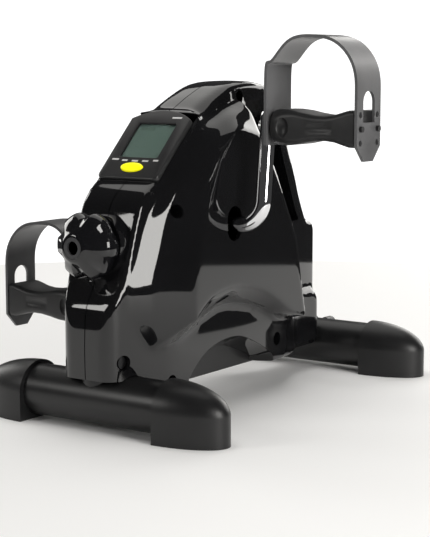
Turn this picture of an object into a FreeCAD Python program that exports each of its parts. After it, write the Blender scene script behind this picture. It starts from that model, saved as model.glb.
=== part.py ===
import FreeCAD, Part

import os
import re

import Sketcher

Vector = FreeCAD.Vector
Rotation = FreeCAD.Rotation

# Driving dimensions in millimetres. Places along Y are measured from the middle of the wheelbase.
DIMS = {
    "mid_y": 4.25,            # middle of the wheelbase in the part's frame
    "wheelbase": 267,         # between the two stabiliser tubes
    "tube_rad": 17.5,
    "tube_wall": 2,
    "tube_axis": 19.5,        # height of the tube axes
    "tube_half": 68,          # half the length of a stabiliser tube
    "cap_rim": 55,            # where a cap starts along X
    "cap_reach": 45,          # its length from there
    "cap_half": 21,           # half its width
    "cap_dome": 20,           # its height above the tube axis
    "upright_rad": 16.5,
    "upright_top": 76,
    "beam_wide": 25,
    "beam_low": 20,
    "beam_high": 45,
    "axle_y": -46,            # crank axle
    "axle_z": 131,
    "rod_rad": 5.25,
    "crank_len": 67,
    "crank_over": 12,         # rod left beyond the pedal axis
    "bend_rad": 17,
    "arm_x": 68,
    "arm_tilt": 6,            # degrees from upright at rest
    "wheel_rad": 45,          # flywheel
    "wheel_wide": 22,
    "hub_rad": 12,
    "hub_half": 13.5,
    "plate_in": 17,           # inner face of each bearing plate
    "plate_thick": 3,
    "bearing_rad": 13,
    "bearing_wide": 8,
    "run_gap": 0.05,          # radial clearance of a running fit
    "spindle_rad": 4,
    "pedal_in": 76.8,
    "pedal_out": 143,
    "pedal_deep": 30,         # along Y
    "pedal_tall": 24,
    "waist_cut": 4,
    "strap_wide": 31,
    "strap_thick": 2,
    "strap_in": 75.6,         # middle of the strap at its inner leg
    "strap_out": 144.1,       # middle of the strap at its outer leg
    "strap_top": 59.5,        # middle of the strap above the pedal axis
    "stud_rad": 1.9,
    "knob_z": 122.5,
    "knob_tip": -163.5,
    "knob_rear": -141.5,
    "knob_rad": 22.5,
    "nose_rad": 8.3,
    "screw_rad": 4,
    "frame_screw_rad": 2,
    "plate_half": 18,         # half the depth of a bearing plate
    "bearing_in": 15,
    "rim_in": 31,             # inside of the flywheel's heavy rim
    "web_wide": 10,
    "magnet_high": 38,
    "scoop_rad": 62,          # round waist of a pedal
    "stud_apart": 11,
    "stud_long": 4,
    "plate_drop": 21,         # how far the strap's end plate hangs below the pedal axis
    "nut_front": -109.5,
    "nut_deep": 5,
    "nut_wide": 14,
    "spring_end": -98,
    "band_thick": 2,
    "band_wide": 16,
    "console_y": -82,         # middle of the console face
    "console_z": 182.8,
    "console_tilt": -44,      # degrees about X
    "console_wide": 50,
    "console_long": 63,
    "lcd_size": 32,
    "lcd_up": 3.2,            # middle of the display along the console
    "button_wide": 18,
    "button_tall": 8,
    "button_low": -22,        # middle of the button along the console
    "cheek_x": 46,
    "wall": 3,
}

doc = FreeCAD.newDocument("pedal_exerciser")
sheet = doc.addObject("Spreadsheet::Sheet", "Dims")
for row, (alias, value) in enumerate(DIMS.items(), 1):
    sheet.set("A%d" % row, alias)
    sheet.set("B%d" % row, str(value))
    sheet.setAlias("B%d" % row, alias)
doc.recompute()

ALONG_X = Rotation(Vector(0, 1, 0), 90)
ALONG_Y = Rotation(Vector(1, 0, 0), -90)
SIDES = {"right": 1, "left": -1}
nodes = []


def dim(alias):
    return float(sheet.get(alias))


def bind(item, prop, text):
    """Ties a property to an expression whose words are aliases of the sheet."""
    words = re.sub(r"[a-z_]+", lambda m: "Dims." + m[0] if m[0] in DIMS else m[0], str(text))
    item.setExpression(prop, words)


def place(item, at, turn=None):
    if turn:
        item.Placement = FreeCAD.Placement(Vector(), turn)
    for axis, text in zip("xyz", at):
        bind(item, "Placement.Base." + axis, text)
    return item


def solid(kind, name, at, turn=None, **sizes):
    item = doc.addObject("Part::" + kind, name)
    for prop, text in sizes.items():
        bind(item, prop, text)
    return place(item, at, turn)


def rod(name, at, turn, radius, length):
    return solid("Cylinder", name, at, turn, Radius=radius, Height=length)


def box(name, at, x, y, z, turn=None):
    return solid("Box", name, at, turn, Length=x, Width=y, Height=z)


def join(name, *items):
    item = doc.addObject("Part::MultiFuse", name)
    item.Shapes = list(items)
    return item


def cut(name, base, *tools):
    item = doc.addObject("Part::Cut", name)
    item.Base = base
    item.Tool = tools[0] if len(tools) == 1 else join(name + "_tools", *tools)
    return item


def common(name, *items):
    item = doc.addObject("Part::MultiCommon", name)
    item.Shapes = list(items)
    return item


def node(item):
    nodes.append(item)
    return item


def feature(name, shape, at=(0, "mid_y", 0), turn=None):
    item = doc.addObject("Part::Feature", name)
    item.Shape = shape
    return place(item, at, turn)


def ring(name, at, turn, outer, inner, length):
    """A round disc or ring: two circles padded in a body of their own."""
    body = doc.addObject("PartDesign::Body", name)
    sketch = body.newObject("Sketcher::SketchObject", name + "_outline")
    plane = [item for item in body.Origin.OriginFeatures if item.Role == "XY_Plane"][0]
    sketch.AttachmentSupport = [(plane, "")]
    sketch.MapMode = "FlatFace"
    for radius, guess in ((outer, 9), (inner, 3)):
        circle = sketch.addGeometry(Part.Circle(Vector(), Vector(0, 0, 1), guess))
        sketch.addConstraint(Sketcher.Constraint("Coincident", circle, 3, -1, 1))
        size = sketch.addConstraint(Sketcher.Constraint("Radius", circle, guess))
        bind(sketch, "Constraints[%d]" % size, radius)
    pad = body.newObject("PartDesign::Pad", name + "_pad")
    pad.Profile = sketch
    bind(pad, "Length", length)
    return place(body, at, turn)


def start(side, near, far):
    """Where a length that runs along X from near to far begins on that side."""
    return near if side == "right" else "-(%s)" % far


# ---- base frame: stabilisers, caps, upright, beam ------------------------------------------------

FRONT = "mid_y - wheelbase / 2"
REAR = "mid_y + wheelbase / 2"
ENDS = {"front": FRONT, "rear": REAR}
BOLT_X = (-8, 8)
FRAME_SCREWS = {"neck": (-141, 47), "skirt": (-99, 28), "tail": (32, 38)}


def tube_solid(name, y, radius="tube_rad"):
    return rod(name, ("-tube_half", y, "tube_axis"), ALONG_X, radius, "2 * tube_half")


def bolt_holes(name, y_from, length):
    return [rod("%s_bolt_hole_%d" % (name, index), (x, y_from, "tube_axis + 12"), ALONG_Y, 3, length)
            for index, x in enumerate(BOLT_X)]


def stabiliser(end, y):
    tools = [tube_solid(end + "_tube_bore", y, "tube_rad - tube_wall")]
    if end == "rear":
        tools += bolt_holes("rear_tube", y + " - 20", 40)
    node(cut(end + "_stabiliser", tube_solid(end + "_tube_skin", y), *tools))


def end_cap(end, y):
    """A soft cap: half an ellipsoid on an upright elliptic wall, with a flat foot."""
    name = end + "_right_cap"
    dome = solid("Ellipsoid", name + "_dome", ("cap_rim", y, "tube_axis"),
                 Radius1="cap_dome", Radius2="cap_reach", Radius3="cap_half")
    edge = doc.addObject("Part::Ellipse", name + "_foot_edge")
    bind(edge, "MajorRadius", "cap_reach")
    bind(edge, "MinorRadius", "cap_half")
    place(edge, ("cap_rim", y, 0))
    foot = doc.addObject("Part::Extrusion", name + "_foot")
    foot.Base = edge
    foot.DirMode = "Custom"
    foot.Dir = Vector(0, 0, 1)
    foot.Solid = True
    bind(foot, "LengthFwd", "tube_axis")
    half = box(name + "_half", ("cap_rim", y + " - cap_half", 0), "cap_reach", "2 * cap_half",
               "tube_axis + cap_dome")
    body = common(name + "_body", join(name + "_outer", dome, foot), half)
    mouth = ("cap_rim", y, "tube_axis")
    socket = rod(name + "_socket", mouth, ALONG_X, "tube_rad", "tube_half - cap_rim")
    plug = rod(name + "_plug", mouth, ALONG_X, "tube_rad - tube_wall", "tube_half - cap_rim")
    return node(join(name, cut(name + "_shell", body, socket), plug))


def mirrored(name, source):
    item = doc.addObject("Part::Mirroring", name)
    item.Source = source
    item.Normal = Vector(1, 0, 0)
    return node(item)


for end, y in ENDS.items():
    stabiliser(end, y)
    mirrored(end + "_left_cap", end_cap(end, y))

screw_holes = {name: rod(name + "_screw_hole", (-20, "mid_y + %d" % y, z), ALONG_X, "frame_screw_rad", 40)
               for name, (y, z) in FRAME_SCREWS.items()}
upright_skin = rod("upright_skin", (0, FRONT, "tube_axis"), Rotation(), "upright_rad",
                   "upright_top - tube_axis")
upright_bore = rod("upright_bore", (0, FRONT, "tube_axis"), Rotation(), "upright_rad - tube_wall",
                   "upright_top - tube_axis")
node(cut("front_upright", upright_skin, upright_bore, screw_holes["neck"],
         tube_solid("upright_notch", FRONT)))

beam_skin = box("beam_skin", ("-beam_wide / 2", FRONT, "beam_low"), "beam_wide", "wheelbase - 12",
                "beam_high - beam_low")
beam_bore = box("beam_bore", ("tube_wall - beam_wide / 2", FRONT, "beam_low + tube_wall"),
                "beam_wide - 2 * tube_wall", "wheelbase - tube_rad - 6",
                "beam_high - beam_low - 2 * tube_wall")
beam_notch = rod("beam_upright_notch", (0, FRONT, 0), Rotation(), "upright_rad", "upright_top")
beam_slope = box("beam_slope", (-20, REAR + " - 20", "beam_high"), 40, 20, 20,
                 Rotation(Vector(1, 0, 0), -45))
node(cut("main_beam", beam_skin, beam_bore, beam_notch, beam_slope, tube_solid("beam_front_notch", FRONT),
         tube_solid("beam_rear_notch", REAR), screw_holes["skirt"], screw_holes["tail"],
         *bolt_holes("beam", REAR + " - 30", 20)))


def rear_bolt(index, x):
    shank = rod("bolt_shank_%d" % index, (x, REAR + " - 24", "tube_axis + 12"), ALONG_Y, 3, 37)
    head = rod("bolt_head_%d" % index, (x, REAR + " + 8", "tube_axis + 12"), ALONG_Y, 5, 9)
    seat = tube_solid("bolt_seat_%d" % index, REAR)
    return join("rear_bolt_%d" % index, shank, cut("bolt_cap_%d" % index, head, seat))


node(join("stabiliser_bolts", *[rear_bolt(index, x) for index, x in enumerate(BOLT_X)]))

# ---- bearing frame, bearings, crank and flywheel -------------------------------------------------

AXLE_Y = "mid_y + axle_y"
foot = box("bearing_foot", ("-plate_in - plate_thick", AXLE_Y + " - plate_half", "beam_high"),
           "2 * (plate_in + plate_thick)", "2 * plate_half", "plate_thick")
plates = [foot]
for side in SIDES:
    inner = start(side, "plate_in", "plate_in + plate_thick")
    plates.append(box(side + "_plate", (inner, AXLE_Y + " - plate_half", "beam_high"), "plate_thick",
                      "2 * plate_half", "axle_z - beam_high"))
    plates.append(rod(side + "_plate_eye", (inner, AXLE_Y, "axle_z"), ALONG_X, "plate_half", "plate_thick"))
    node(ring(side + "_bearing", (start(side, "bearing_in", "bearing_in + bearing_wide"), AXLE_Y, "axle_z"),
              ALONG_X, "bearing_rad", "rod_rad + run_gap", "bearing_wide"))
bearing_seats = rod("bearing_seats", (-30, AXLE_Y, "axle_z"), ALONG_X, "bearing_rad", 60)
node(cut("bearing_frame", join("bearing_frame_blank", *plates), bearing_seats))


def crank_half(side):
    """Half of the bent rod: along the axle, round the bend and out past the pedal axis."""
    name = side + "_crank"
    along = rod(name + "_axle", (0, 0, 0), ALONG_X, "rod_rad", "arm_x - bend_rad")
    bend = solid("Torus", name + "_bend", ("arm_x - bend_rad", 0, "bend_rad"),
                 Rotation(Vector(1, 0, 0), 90), Radius1="bend_rad", Radius2="rod_rad")
    quarter = box(name + "_quarter", ("arm_x - bend_rad", "-rod_rad", "-rod_rad"),
                  "bend_rad + rod_rad", "2 * rod_rad", "bend_rad + rod_rad")
    arm = rod(name + "_arm", ("arm_x", 0, "bend_rad"), Rotation(), "rod_rad",
              "crank_len + crank_over - bend_rad - rod_rad")
    tip = solid("Sphere", name + "_tip", ("arm_x", 0, "crank_len + crank_over - rod_rad"), Radius="rod_rad")
    whole = join(name + "_whole", along, common(name + "_turn", bend, quarter), arm, tip)
    eye = rod(name + "_eye", ("arm_x - 10", 0, "crank_len"), ALONG_X, "spindle_rad", 20)
    return cut(name, whole, eye)


left_half = crank_half("left")
left_half.Placement.Rotation = Rotation(Vector(0, 1, 0), 180)
crank = join("crank_shaft", crank_half("right"), left_half)
node(place(crank, (0, AXLE_Y, "axle_z"), Rotation(Vector(1, 0, 0), -dim("arm_tilt"))))

wheel_rim = ring("wheel_rim", ("-wheel_wide / 2", 0, 0), ALONG_X, "wheel_rad", "rim_in", "wheel_wide")
wheel_web = ring("wheel_web", ("-web_wide / 2", 0, 0), ALONG_X, "rim_in", "hub_rad", "web_wide")
wheel_hub = ring("wheel_hub", ("-hub_half", 0, 0), ALONG_X, "hub_rad", "rod_rad", "2 * hub_half")
magnet_seat = rod("magnet_seat", ("wheel_wide / 2 - 3", 0, "magnet_high"), ALONG_X, 3, 3)
wheel = cut("flywheel", join("wheel_blank", wheel_rim, wheel_web, wheel_hub), magnet_seat)
node(place(wheel, (0, AXLE_Y, "axle_z")))
node(rod("speed_magnet", ("wheel_wide / 2 - 3", AXLE_Y, "axle_z + magnet_high"), ALONG_X, 3, 3))
sensor = box("sensor_head", ("wheel_wide / 2 + 2", AXLE_Y + " - 4", "axle_z + magnet_high - 5"), 4, 8, 10)
sensor_foot = box("sensor_foot", ("wheel_wide / 2 + 4", AXLE_Y + " - 4", "axle_z + 14"), 2, 8, 24)
node(join("speed_sensor", sensor, sensor_foot))

# ---- pedals, spindles and straps -----------------------------------------------------------------


def pedal_axis(side):
    sign = SIDES[side]
    return (AXLE_Y + " + %d * crank_len * sin(arm_tilt * 1deg)" % sign,
            "axle_z + %d * crank_len * cos(arm_tilt * 1deg)" % sign)


def along_pedal(name, side, near, far, radius, off=0):
    y, z = pedal_axis(side)
    return rod(name, (start(side, near, far), "%s + %s" % (y, off), z), ALONG_X, radius,
               "%s - (%s)" % (far, near))


def end_plate(name, side):
    """The oblong plate of the end cap, and the seat that it fills in the pedal's end."""
    y, z = pedal_axis(side)
    return box(name, (start(side, "pedal_out - 2", "pedal_out"), y + " - stud_apart - 2.5", z + " - 7"),
               2, "2 * stud_apart + 5", 14)


def pedal(side):
    """A waisted bar with a round hub end, bored for its spindle and nut."""
    name = side + "_pedal"
    y, z = pedal_axis(side)
    bar = box(name + "_bar", (start(side, "pedal_in + 6", "pedal_out"), y + " - pedal_deep / 2",
                              z + " - pedal_tall / 2"),
              "pedal_out - pedal_in - 6", "pedal_deep", "pedal_tall")
    hub = along_pedal(name + "_hub", side, "pedal_in", "pedal_in + 16", "pedal_deep / 2")
    hub_block = box(name + "_hub_block", (start(side, "pedal_in", "pedal_in + 16"),
                                          y + " - pedal_deep / 2", z + " - pedal_tall / 2"),
                    16, "pedal_deep", "pedal_tall")
    waist = start(side, "(pedal_in + pedal_out) / 2 + 3", "(pedal_in + pedal_out) / 2 + 3")
    scoops = [solid("Cylinder", "%s_scoop_%d" % (name, level + 2),
                    (waist, y + " - pedal_deep / 2",
                     "%s + %d * (pedal_tall / 2 - waist_cut + scoop_rad)" % (z, level)),
                    ALONG_Y, Radius="scoop_rad", Height="pedal_deep") for level in (-1, 1)]
    bore = along_pedal(name + "_bore", side, "pedal_in - 1", "pedal_out - 6", "spindle_rad + run_gap")
    nut_pocket = along_pedal(name + "_nut_pocket", side, "pedal_out - 16", "pedal_out + 1", 8)
    blank = join(name + "_blank", bar, common(name + "_hub_end", hub, hub_block))
    node(cut(name, blank, bore, nut_pocket, end_plate(name + "_end_seat", side), *scoops))


def pedal_fittings(side):
    node(along_pedal(side + "_spindle", side, "arm_x - rod_rad", "pedal_out - 7", "spindle_rad"))
    y, z = pedal_axis(side)
    node(ring(side + "_spindle_nut", (start(side, "pedal_out - 14", "pedal_out - 8"), y, z), ALONG_X,
              6.5, "spindle_rad", 6))
    plug = along_pedal(side + "_end_plug", side, "pedal_out - 4", "pedal_out", 8)
    studs = [along_pedal("%s_stud_%d" % (side, level + 2), side, "pedal_out - 1", "pedal_out + stud_long",
                         "stud_rad", "%d * stud_apart" % level) for level in (-1, 1)]
    node(join(side + "_end_cap", plug, end_plate(side + "_end_plate", side), *studs))


def strap(side):
    """The foot strap: a flat band bent over the pedal, with a plate at each end."""
    sign = SIDES[side]
    inner, outer, top = sign * dim("strap_in"), sign * dim("strap_out"), dim("strap_top")
    span = outer - inner
    low = -dim("plate_drop")
    over = [(outer, 26), (outer - 0.06 * span, 44), (outer - 0.24 * span, 56), (outer - 0.5 * span, top),
            (inner + 0.24 * span, 55.5), (inner + 0.06 * span, 43), (inner, 24)]
    points = [Vector(x, 0, z) for x, z in over]
    curve = Part.BSplineCurve()
    curve.interpolate(points, InitialTangent=Vector(0, 0, 1), FinalTangent=Vector(0, 0, -1))
    path = Part.Wire([Part.LineSegment(Vector(outer, 0, low), points[0]).toShape(), curve.toShape(),
                      Part.LineSegment(points[-1], Vector(inner, 0, -dim("pedal_tall") / 2)).toShape()])
    half, thick = dim("strap_wide") / 2, dim("strap_thick") / 2
    corners = [Vector(outer + x, y, low) for x, y in
               ((-thick, -half), (thick, -half), (thick, half), (-thick, half))]
    band = path.makePipeShell([Part.makePolygon(corners + corners[:1])], True, False)
    across = Vector(sign, 0, 0)
    spindle_hole = Part.makeCylinder(7, 6, Vector(inner - 3 * sign, 0, 0), across)
    holes = [Part.makeCylinder(2, 6, Vector(outer - 3 * sign, way * dim("stud_apart"), z), across)
             for way in (-1, 1) for z in (-9, 0, 9)]
    window = Part.makeCylinder(7.5, 6, Vector(outer - 3 * sign, 0, 17), across)
    window = window.fuse(Part.makeBox(6, 15, 14, Vector(outer - 3, -7.5, 4)))
    band = band.cut(Part.makeCompound([spindle_hole, window] + holes))
    corner_cut = Part.makePolygon([Vector(outer - 3, half + 1, low - 1), Vector(outer - 3, half + 1, low + 11),
                                   Vector(outer - 3, 5, low - 1), Vector(outer - 3, half + 1, low - 1)])
    wedge = Part.Face(corner_cut).extrude(Vector(6, 0, 0))
    band = band.cut(Part.makeCompound([wedge, wedge.mirror(Vector(), Vector(0, 1, 0))]))
    y, z = pedal_axis(side)
    node(feature(side + "_strap", band, (0, y, z)))


for side in SIDES:
    pedal(side)
    pedal_fittings(side)
    strap(side)

# ---- tension knob, screw, nut, spring and brake band ---------------------------------------------


def along_screw(name, near, far, radius):
    return rod(name, (0, "mid_y + " + str(near), "knob_z"), ALONG_Y, radius, "(%s) - (%s)" % (far, near))


def knob_shape():
    """A domed cone with round flutes between its lobes, on the screw's axis."""
    length = dim("knob_rear") - dim("knob_tip")
    big, nose = dim("knob_rad"), dim("nose_rad")
    dome = Part.BSplineCurve()
    dome.interpolate([Vector(nose, 0, 0), Vector(nose + 7, 3.2, 0), Vector(big - 2, 9.5, 0),
                      Vector(big, 15, 0)])
    corners = [Vector(big, 15, 0), Vector(big - 0.8, length, 0), Vector(0, length, 0), Vector(0, 0, 0),
               Vector(nose, 0, 0)]
    edges = [dome.toShape()] + [Part.LineSegment(a, b).toShape() for a, b in zip(corners, corners[1:])]
    blank = Part.Face(Part.Wire(edges)).revolve(Vector(), Vector(0, 1, 0), 360)
    flute = Part.makeCone(3, 10, length + 8, Vector(0, length + 4, big + 5), Vector(0, -1, -0.18))
    for turn in range(6):
        blank = blank.cut(flute.rotated(Vector(), Vector(0, 1, 0), 60 * turn + 30))
    eye = Part.makeCylinder(4.5, 10, Vector(0, -1, 0), Vector(0, 1, 0))
    bore = Part.makeCylinder(dim("screw_rad"), 14, Vector(0, 9, 0), Vector(0, 1, 0))
    ring_seat = Part.makeCylinder(7, 2, Vector(0, 0, 0), Vector(0, 1, 0))
    return blank.cut(eye).cut(bore).cut(ring_seat)


node(feature("tension_knob", knob_shape(), (0, "mid_y + knob_tip", "knob_z")))
node(ring("knob_ring", (0, "mid_y + knob_tip", "knob_z"), ALONG_Y, 7, 4.5, 2))
node(along_screw("tension_screw", "knob_tip + 9", "spring_end - 1", "screw_rad"))
node(ring("screw_collar", (0, "mid_y - 116.8", "knob_z"), ALONG_Y, 7, "screw_rad", 3))
bracket_foot = box("bracket_foot", (-12, "mid_y - 144", "upright_top"), 24, 27, 3)
bracket_wall = box("bracket_wall", (-12, "mid_y - 120", "upright_top"), 24, 3, "knob_z - upright_top + 12")
node(cut("tension_bracket", join("bracket_blank", bracket_foot, bracket_wall),
         along_screw("bracket_hole", -125, -112, "screw_rad + run_gap")))
nut_block = box("nut_block", ("-nut_wide / 2", "mid_y + nut_front", "knob_z - nut_wide / 2"),
                "nut_wide", "nut_deep", "nut_wide")
node(cut("tension_nut", nut_block, along_screw("nut_bore", "nut_front - 1", "nut_front + nut_deep + 1",
                                               "screw_rad + run_gap")))


def spring_shape():
    """The coil that the nut pulls: round wire on a helix round the screw."""
    wire_rad, coil_rad, turns = 0.5, 6, 5
    length = dim("spring_end") - dim("nut_front") - dim("nut_deep") - 2 * wire_rad
    helix = Part.makeHelix(length / turns, length, coil_rad)
    loop = Part.Wire(Part.makeCircle(wire_rad, Vector(coil_rad, 0, 0), Vector(0, 1, 0)))
    return Part.Wire(helix.Edges).makePipeShell([loop], True, True)


node(feature("tension_spring", spring_shape(),
             (0, "mid_y + nut_front + nut_deep + 0.5", "knob_z"), ALONG_Y))


def brake_band_shape():
    """A band round the flywheel, drawn together in front of it at the hook plate."""
    inner = dim("wheel_rad") + 0.8
    outer = inner + dim("band_thick")
    hook = Vector(0, dim("spring_end") + 0.2 - dim("axle_y"), dim("knob_z") - dim("axle_z"))
    wide, half = dim("band_wide"), dim("band_wide") / 2
    hoop = Part.makeCylinder(outer, wide, Vector(-half, 0, 0), Vector(1, 0, 0))
    hoop = hoop.cut(Part.makeCylinder(inner, wide, Vector(-half, 0, 0), Vector(1, 0, 0)))
    plate = Part.makeBox(wide, -inner - hook.y, 18, Vector(-half, hook.y, hook.z - 9))
    return hoop.fuse(plate).removeSplitter()


node(feature("brake_band", brake_band_shape(), (0, AXLE_Y, "axle_z")))
anchor = rod("anchor_pin", ("-plate_in", AXLE_Y, "axle_z - wheel_rad - 6.3"), ALONG_X, 2.5, "2 * plate_in")
node(anchor).Label = "band_anchor_pin"

# ---- housing covers ------------------------------------------------------------------------------


def outline(x, first, *stretches):
    """A closed wire in the plane X = x: straight to a single point, smooth through several."""
    edges = []
    here = first
    for stretch in stretches + ([first],):
        points = [Vector(x, y, z) for y, z in [here] + stretch]
        here = stretch[-1]
        if len(points) == 2:
            edges.append(Part.LineSegment(*points).toShape())
        else:
            curve = Part.BSplineCurve()
            curve.interpolate(points)
            edges.append(curve.toShape())
    return Part.Wire(edges)


def drawn_in(shape, inset):
    """The same outline with every point moved in by the wall's thickness, mitred at its corners."""
    points = [shape[0]] + [point for stretch in shape[1:] for point in stretch]
    area = sum(a[0] * b[1] - b[0] * a[1] for a, b in zip(points, points[1:] + points[:1]))
    turn = 1 if area > 0 else -1
    moved = []
    for before, here, after in zip(points[-1:] + points[:-1], points, points[1:] + points[:1]):
        sides = []
        for a, b in ((before, here), (here, after)):
            along = Vector(0, b[0] - a[0], b[1] - a[1]).normalize()
            sides.append(Vector(0, -along.z, along.y) * turn)
        shift = (sides[0] + sides[1]) * (inset / max(1 + sides[0].dot(sides[1]), 0.5))
        moved.append((here[0] + shift.y, here[1] + shift.z))
    result, place_in = [moved[0]], 1
    for stretch in shape[1:]:
        result.append(moved[place_in:place_in + len(stretch)])
        place_in += len(stretch)
    return result


SIDE_VIEW = ((-151, 22),
             [(-152, 40), (-152, 62), (-150, 82), (-140.5, 100), (-127, 140), (-120, 152), (-108, 161)],
             [(-60, 207)], [(-53, 209)], [(-34, 218), (-10, 226), (22, 227), (45, 222)],
             [(60, 205), (73, 174), (92, 135), (100, 121)], [(111, 119)], [(114, 112)], [(114, 21)],
             [(34, 21)], [(5, 39), (-24, 48), (-46, 47), (-65, 40), (-80, 27), (-85, 21)], [(-112, 21)])


def side_view(inset):
    return Part.Face(outline(0, *drawn_in(SIDE_VIEW, inset)))


def plan_view(widths, inset):
    """A face in plan from (y, half width) points, the same on both sides."""
    halves = []
    for sign in (1, -1):
        curve = Part.BSplineCurve()
        curve.interpolate([Vector(sign * (half - inset), y, 0) for y, half in widths])
        halves.append(curve)
    front = Part.LineSegment(halves[1].StartPoint, halves[0].StartPoint)
    rear = Part.LineSegment(halves[0].EndPoint, halves[1].EndPoint)
    return Part.Face(Part.Wire([front.toShape(), halves[0].toShape(), rear.toShape(), halves[1].toShape()]))


UPPER_PLAN = [(-153, 13), (-149, 21), (-138, 28.5), (-120, 31), (-95, 31), (-70, 29), (-45, 25.5), (-6, 20),
              (30, 19), (80, 19), (115, 19)]
LOWER_PLAN = [(-153, 12), (-149, 18), (-138, 22.5), (-118, 25), (-98, 29), (-70, 30.5), (-20, 30.5), (40, 30.5),
              (66, 28), (90, 21), (115, 19)]
CHEEK_ROOT = ((-128, 60), [(-124, 130), (-107, 157)], [(-62, 202)], [(-45, 204), (-25, 210), (-4, 213)],
              [(20, 170), (40, 135), (52, 122)], [(58, 57)], [(28, 57)],
              [(12, 64), (-10, 69), (-33, 66), (-72, 56), (-99, 42)])
CHEEK_FLAT = ((-84, 80), [(-85, 125), (-86, 172)], [(-71, 184)], [(-58, 192), (-38, 198), (-14, 190)],
              [(4, 168), (26, 131), (36, 112)], [(50, 56)], [(28, 59)],
              [(12, 69), (-8, 80), (-33, 87), (-55, 87), (-72, 84)])


HAND_HOLE = ((5, 213), [(28, 214)], [(45, 200), (58, 172), (77, 134), (85, 122)], [(50, 122)],
             [(40, 135), (20, 170), (5, 205)])


def cheek(sign, inset):
    root = outline(sign * 17, *drawn_in(CHEEK_ROOT, inset))
    flat = outline(sign * (dim("cheek_x") - inset), *drawn_in(CHEEK_FLAT, inset))
    return Part.makeLoft([root, flat], True, True)


def hand_hole(grow):
    return Part.Face(outline(-60, *drawn_in(HAND_HOLE, -grow))).extrude(Vector(120, 0, 0))


def housing_solid(inset):
    side = side_view(inset).extrude(Vector(80, 0, 0))
    side.translate(Vector(-40, 0, 0))
    upper = plan_view(UPPER_PLAN, inset).extrude(Vector(0, 0, 240))
    lower = plan_view(LOWER_PLAN, inset).extrude(Vector(0, 0, 64 - inset))
    body = side.common(upper.fuse(lower))
    body = body.fuse([cheek(1, inset), cheek(-1, inset)])
    return body.cut(hand_hole(inset))


def x_rod(y, z, radius, low=-60, high=60):
    return Part.makeCylinder(radius, high - low, Vector(low, y, z), Vector(1, 0, 0))


def console_block(wide, long, low, high):
    block = Part.makeBox(wide, long, high - low, Vector(-wide / 2, -long / 2, low))
    block.Placement = FreeCAD.Placement(Vector(0, dim("console_y"), dim("console_z")),
                                        Rotation(Vector(1, 0, 0), -dim("console_tilt")))
    return block


def covers():
    """Both halves of the housing as one hollow shell, ready to be split."""
    wall = dim("wall")
    axle_y, axle_z, knob_z = dim("axle_y"), dim("axle_z"), dim("knob_z")
    shell = housing_solid(0).cut(housing_solid(wall))
    boss = Part.makeCylinder(20, 18, Vector(0, -139.5, knob_z), Vector(0, 1, 0))
    boss = boss.cut(Part.makeCylinder(17, 18, Vector(0, -136.5, knob_z), Vector(0, 1, 0)))
    shell = shell.fuse(boss)
    half_base = dim("wheelbase") / 2
    tube = dim("tube_rad") + 0.3
    bottom = [Part.makeBox(2 * 26, 70, 6, Vector(-26, 40, 19)), Part.makeBox(46, 24, 8, Vector(-23, -112, 19))]
    beam_wide, beam_high = dim("beam_wide"), dim("beam_high")
    beam = Part.makeBox(beam_wide + 1, 2 * half_base, beam_high - 9.5,
                        Vector(-beam_wide / 2 - 0.5, -half_base, 10))
    pipe = Part.makeCylinder(dim("upright_rad") + 0.2, dim("upright_top"), Vector(0, -half_base, 0))
    slot = Part.makeBox(120, 17, 7, Vector(-60, axle_y - 8.5, axle_z - 3.5))
    slot = slot.fuse([x_rod(axle_y, axle_z - 3.5, 8.5), x_rod(axle_y, axle_z + 3.5, 8.5)])
    plate_x = dim("plate_in") + dim("plate_thick") + 0.4
    plate_y = dim("plate_half") + 0.4
    window = Part.makeBox(2 * plate_x, 2 * plate_y, 12, Vector(-plate_x, axle_y - plate_y, beam_high - 2))
    tools = bottom + [window, x_rod(-half_base, dim("tube_axis"), tube), x_rod(half_base, dim("tube_axis"), tube),
                      beam, pipe, slot, console_block(dim("console_wide") + 1, dim("console_long") + 1, -30, 12),
                      Part.makeCylinder(5.2, 40, Vector(0, -150, knob_z), Vector(0, 1, 0)),
                      Part.makeBox(80, 20, 12, Vector(-40, -160, 21))]
    return shell.cut(tools)


COVER_SCREWS = {"shoulder": (-100, 143, 26), "roof": (-4, 216, 12)}
FRAME_SEATS = {"neck": (16.9, 20), "skirt": (12.8, 26), "tail": (12.8, 27)}


def half_cover():
    """The right half of the housing with its screw posts, before the cover screws' holes."""
    half = covers().common(Part.makeBox(60, 330, 260, Vector(0, -170, 0)))
    inside = housing_solid(0.2)
    for y, z, head in COVER_SCREWS.values():
        half = half.fuse(x_rod(y, z, 5.5, 0, head + 2).common(inside))
    for name, (y, z) in FRAME_SCREWS.items():
        seat, wall_x = FRAME_SEATS[name]
        half = half.fuse(x_rod(y, z, 7, seat, wall_x + 1).common(inside))
        half = half.cut([x_rod(y, z, 5, seat + 3, 60),
                         x_rod(y, z, dim("frame_screw_rad") + 0.2, seat - 6, seat + 4)])
    return max(half.Solids, key=lambda piece: piece.Volume)


plain_half = half_cover()
recesses = [x_rod(y, z, 4.2, 6, 60) for y, z, head in COVER_SCREWS.values()]
clear_holes = [x_rod(y, z, 1.8, -1, 7) for y, z, head in COVER_SCREWS.values()]
pilot_holes = [x_rod(y, z, 1.6, -10, 1) for y, z, head in COVER_SCREWS.values()]
node(feature("right_cover", plain_half.cut(recesses + clear_holes)))
node(feature("left_cover", plain_half.mirror(Vector(), Vector(1, 0, 0)).cut(pilot_holes)))


def screw(name, y, z, seat, tip, head_rad, radius, sign=1):
    """A pan-head screw along X, seated at X = seat and reaching in to X = tip."""
    shank = x_rod(y, z, radius, *sorted((sign * tip, sign * seat)))
    return shank.fuse(x_rod(y, z, head_rad, *sorted((sign * seat, sign * (seat + 2)))))


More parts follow.
